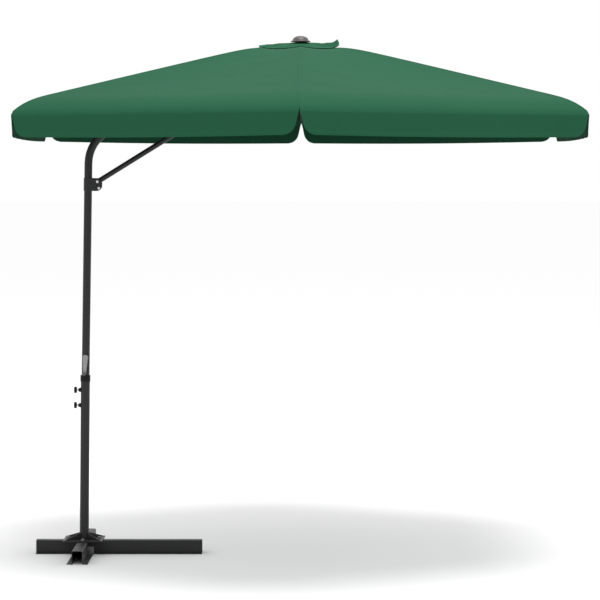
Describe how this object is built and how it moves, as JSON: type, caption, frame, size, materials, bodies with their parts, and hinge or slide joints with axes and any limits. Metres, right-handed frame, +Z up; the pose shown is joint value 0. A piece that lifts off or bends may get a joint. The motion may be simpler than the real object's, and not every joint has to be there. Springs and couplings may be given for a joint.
{
  "type": "patio umbrella",
  "caption": "Cantilever patio umbrella: bent steel mast on a cross base, hexagonal fabric canopy with valance and vent cap, crank-and-cord folding frame.",
  "frame": {"origin": "on the ground straight under the middle of the canopy", "axes": "+Z up; +X from the mast towards the middle of the canopy and beyond; the canopy has corners towards +Y and -Y, and the crank is on the -Y side of the mast"},
  "size_m": [2.598, 3, 2.4877],
  "materials": {
    "coated_steel": "satin",
    "bright_steel": "satin",
    "cast_metal": "satin",
    "black_plastic": "matte",
    "grey_plastic": "satin",
    "cord": "matte",
    "canopy_fabric": "matte"
  },
  "bodies": {
    "base": {"base_long_bar": "coated_steel", "base_cross_bar": "coated_steel", "lower_mast": "coated_steel", "foot_bolt_1": "bright_steel", "foot_bolt_2": "bright_steel", "foot_bolt_3": "bright_steel", "foot_bolt_4": "bright_steel", "mast_collar": "black_plastic", "clamp_nut_upper": "black_plastic", "clamp_nut_lower": "black_plastic"},
    "upper_knob": {"clamp_screw_upper": "bright_steel", "clamp_knob_upper": "black_plastic"},
    "lower_knob": {"clamp_screw_lower": "bright_steel", "clamp_knob_lower": "black_plastic"},
    "mast": {"upper_mast": "coated_steel", "mast_bracket": "coated_steel", "strut": "coated_steel", "strut_foot_bolt": "bright_steel", "bracket_clamp_bolt": "bright_steel", "arm_bracket": "coated_steel", "strut_head_bolt": "bright_steel", "crank_bearing": "black_plastic", "lift_cord": "cord", "crown": "black_plastic", "crown_ring": "bright_steel", "pulley_pin": "bright_steel", "vent_cap": "canopy_fabric", "finial": "grey_plastic"},
    "pulley": {"crown_pulley": "black_plastic"},
    "crank": {"crank_spindle": "bright_steel", "crank_arm": "cast_metal"},
    "grip": {"crank_grip": "grey_plastic"},
    "cord_end": {"cord_ferrule": "bright_steel"},
    "rib_1": {"rib_1": "coated_steel", "rib_tip_1": "grey_plastic", "canopy_sector_1": "canopy_fabric"},
    "rib_2": {"rib_2": "coated_steel", "rib_tip_2": "grey_plastic", "canopy_sector_2": "canopy_fabric"},
    "rib_3": {"rib_3": "coated_steel", "rib_tip_3": "grey_plastic", "canopy_sector_3": "canopy_fabric"},
    "rib_4": {"rib_4": "coated_steel", "rib_tip_4": "grey_plastic", "canopy_sector_4": "canopy_fabric"},
    "rib_5": {"rib_5": "coated_steel", "rib_tip_5": "grey_plastic", "canopy_sector_5": "canopy_fabric"},
    "rib_6": {"rib_6": "coated_steel", "rib_tip_6": "grey_plastic", "canopy_sector_6": "canopy_fabric"},
    "stretcher_1": {"stretcher_1": "coated_steel"},
    "stretcher_2": {"stretcher_2": "coated_steel"},
    "stretcher_3": {"stretcher_3": "coated_steel"},
    "stretcher_4": {"stretcher_4": "coated_steel"},
    "stretcher_5": {"stretcher_5": "coated_steel"},
    "stretcher_6": {"stretcher_6": "coated_steel"},
    "runner": {"runner": "black_plastic", "runner_ring": "bright_steel"}
  },
  "joints": [
    {"name": "mast_swivel", "type": "hinge", "parent": "base", "child": "mast", "pos_m": [-1.03768, 0, 0.735], "axis": [0.0178, 0, 0.9998], "continuous": true},
    {"name": "upper_knob_turn", "type": "hinge", "parent": "base", "child": "upper_knob", "pos_m": [-1.03704, 0, 0.789], "axis": [-1, 0, 0], "range_deg": [0, 720]},
    {"name": "lower_knob_turn", "type": "hinge", "parent": "base", "child": "lower_knob", "pos_m": [-1.03791, 0, 0.715], "axis": [-1, 0, 0], "range_deg": [0, 720]},
    {"name": "canopy_fold", "type": "hinge", "parent": "mast", "child": "rib_1", "pos_m": [0.06062, 0.035, 2.41581], "axis": [-0.5, 0.866, 0], "range_deg": [0, 74], "deforming": ["canopy_sector_1"]},
    {"name": "rib_2_fold", "type": "hinge", "parent": "mast", "child": "rib_2", "pos_m": [0, 0.07, 2.41581], "axis": [-1, 0, 0], "range_deg": [0, 74], "deforming": ["canopy_sector_2"]},
    {"name": "rib_3_fold", "type": "hinge", "parent": "mast", "child": "rib_3", "pos_m": [-0.06062, 0.035, 2.41581], "axis": [-0.5, -0.866, 0], "range_deg": [0, 74], "deforming": ["canopy_sector_3"]},
    {"name": "rib_4_fold", "type": "hinge", "parent": "mast", "child": "rib_4", "pos_m": [-0.06062, -0.035, 2.41581], "axis": [0.5, -0.866, 0], "range_deg": [0, 74], "deforming": ["canopy_sector_4"]},
    {"name": "rib_5_fold", "type": "hinge", "parent": "mast", "child": "rib_5", "pos_m": [0, -0.07, 2.41581], "axis": [1, 0, 0], "range_deg": [0, 74], "deforming": ["canopy_sector_5"]},
    {"name": "rib_6_fold", "type": "hinge", "parent": "mast", "child": "rib_6", "pos_m": [0.06062, -0.035, 2.41581], "axis": [0.5, 0.866, 0], "range_deg": [0, 74], "deforming": ["canopy_sector_6"]},
    {"name": "stretcher_1_fold", "type": "hinge", "parent": "rib_1", "child": "stretcher_1", "pos_m": [0.62354, 0.36, 2.29013], "axis": [-0.5, 0.866, 0], "range_deg": [-148, 0]},
    {"name": "stretcher_2_fold", "type": "hinge", "parent": "rib_2", "child": "stretcher_2", "pos_m": [0, 0.72, 2.29013], "axis": [-1, 0, 0], "range_deg": [-148, 0]},
    {"name": "stretcher_3_fold", "type": "hinge", "parent": "rib_3", "child": "stretcher_3", "pos_m": [-0.62354, 0.36, 2.29013], "axis": [-0.5, -0.866, 0], "range_deg": [-148, 0]},
    {"name": "stretcher_4_fold", "type": "hinge", "parent": "rib_4", "child": "stretcher_4", "pos_m": [-0.62354, -0.36, 2.29013], "axis": [0.5, -0.866, 0], "range_deg": [-148, 0]},
    {"name": "stretcher_5_fold", "type": "hinge", "parent": "rib_5", "child": "stretcher_5", "pos_m": [0, -0.72, 2.29013], "axis": [1, 0, 0], "range_deg": [-148, 0]},
    {"name": "stretcher_6_fold", "type": "hinge", "parent": "rib_6", "child": "stretcher_6", "pos_m": [0.62354, -0.36, 2.29013], "axis": [0.5, 0.866, 0], "range_deg": [-148, 0]},
    {"name": "runner_hang", "type": "hinge", "parent": "stretcher_1", "child": "runner", "pos_m": [0.06062, 0.035, 2.16444], "axis": [-0.5, 0.866, 0], "range_deg": [0, 74]},
    {"name": "cord_end_drop", "type": "slide", "parent": "mast", "child": "cord_end", "axis": [0, 0, -1], "range_m": [0, 1.06756], "deforming": ["lift_cord"]},
    {"name": "pulley_turn", "type": "hinge", "parent": "mast", "child": "pulley", "pos_m": [-0.014, 0, 2.3543], "axis": [0, 1, 0], "range_deg": [0, 4369.6]},
    {"name": "crank_turn", "type": "hinge", "parent": "mast", "child": "crank", "pos_m": [-1.03388, 0, 0.948], "axis": [0, -1, 0], "range_deg": [0, 5826]},
    {"name": "grip_spin", "type": "hinge", "parent": "crank", "child": "grip", "pos_m": [-1.03802, -0.05, 0.86911], "axis": [0, 1, 0], "continuous": true}
  ],
  "couplings": [
    {"joint": "rib_2_fold", "follows": "canopy_fold", "ratio": 1},
    {"joint": "rib_3_fold", "follows": "canopy_fold", "ratio": 1},
    {"joint": "rib_4_fold", "follows": "canopy_fold", "ratio": 1},
    {"joint": "rib_5_fold", "follows": "canopy_fold", "ratio": 1},
    {"joint": "rib_6_fold", "follows": "canopy_fold", "ratio": 1},
    {"joint": "stretcher_1_fold", "follows": "canopy_fold", "ratio": -2},
    {"joint": "stretcher_2_fold", "follows": "canopy_fold", "ratio": -2},
    {"joint": "stretcher_3_fold", "follows": "canopy_fold", "ratio": -2},
    {"joint": "stretcher_4_fold", "follows": "canopy_fold", "ratio": -2},
    {"joint": "stretcher_5_fold", "follows": "canopy_fold", "ratio": -2},
    {"joint": "stretcher_6_fold", "follows": "canopy_fold", "ratio": -2},
    {"joint": "runner_hang", "follows": "canopy_fold", "ratio": 1},
    {"joint": "cord_end_drop", "follows": "canopy_fold", "m_per_rad": 0.82657},
    {"joint": "pulley_turn", "follows": "canopy_fold", "ratio": 59.041},
    {"joint": "crank_turn", "follows": "canopy_fold", "ratio": 78.721}
  ]
}
